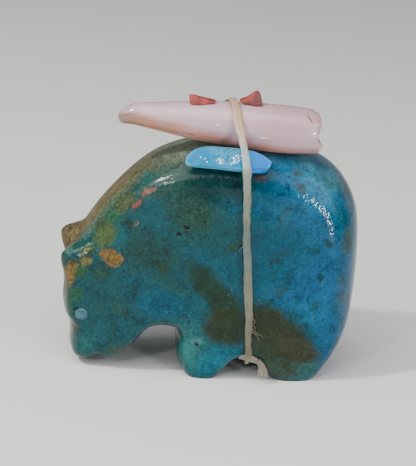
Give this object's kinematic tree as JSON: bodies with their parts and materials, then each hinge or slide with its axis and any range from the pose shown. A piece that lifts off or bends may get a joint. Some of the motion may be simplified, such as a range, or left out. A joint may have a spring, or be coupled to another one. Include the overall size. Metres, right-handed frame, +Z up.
{
  "type": "carved stone bear fetish",
  "caption": "Small standing bear carved from blue-green stone, with inlaid eyes, and a shell point, a bead and chips tied on its back with sinew.",
  "frame": {"origin": "on the ground, under the middle of the whole figure's box", "axes": "+Z up, -X the way the bear looks, -Y towards its left flank"},
  "size_m": [0.042, 0.0206, 0.041],
  "materials": {
    "stone": "polished",
    "eye_stone": "polished",
    "shell": "polished",
    "turquoise": "polished",
    "red_stone": "satin",
    "sinew": "matte"
  },
  "bodies": {
    "root": {"bear_body": "stone", "eye_left": "eye_stone", "eye_right": "eye_stone", "shell_point": "shell", "turquoise_bead": "turquoise", "red_chip_front": "red_stone", "red_chip_rear": "red_stone", "sinew_tie": "sinew"}
  },
  "joints": []
}
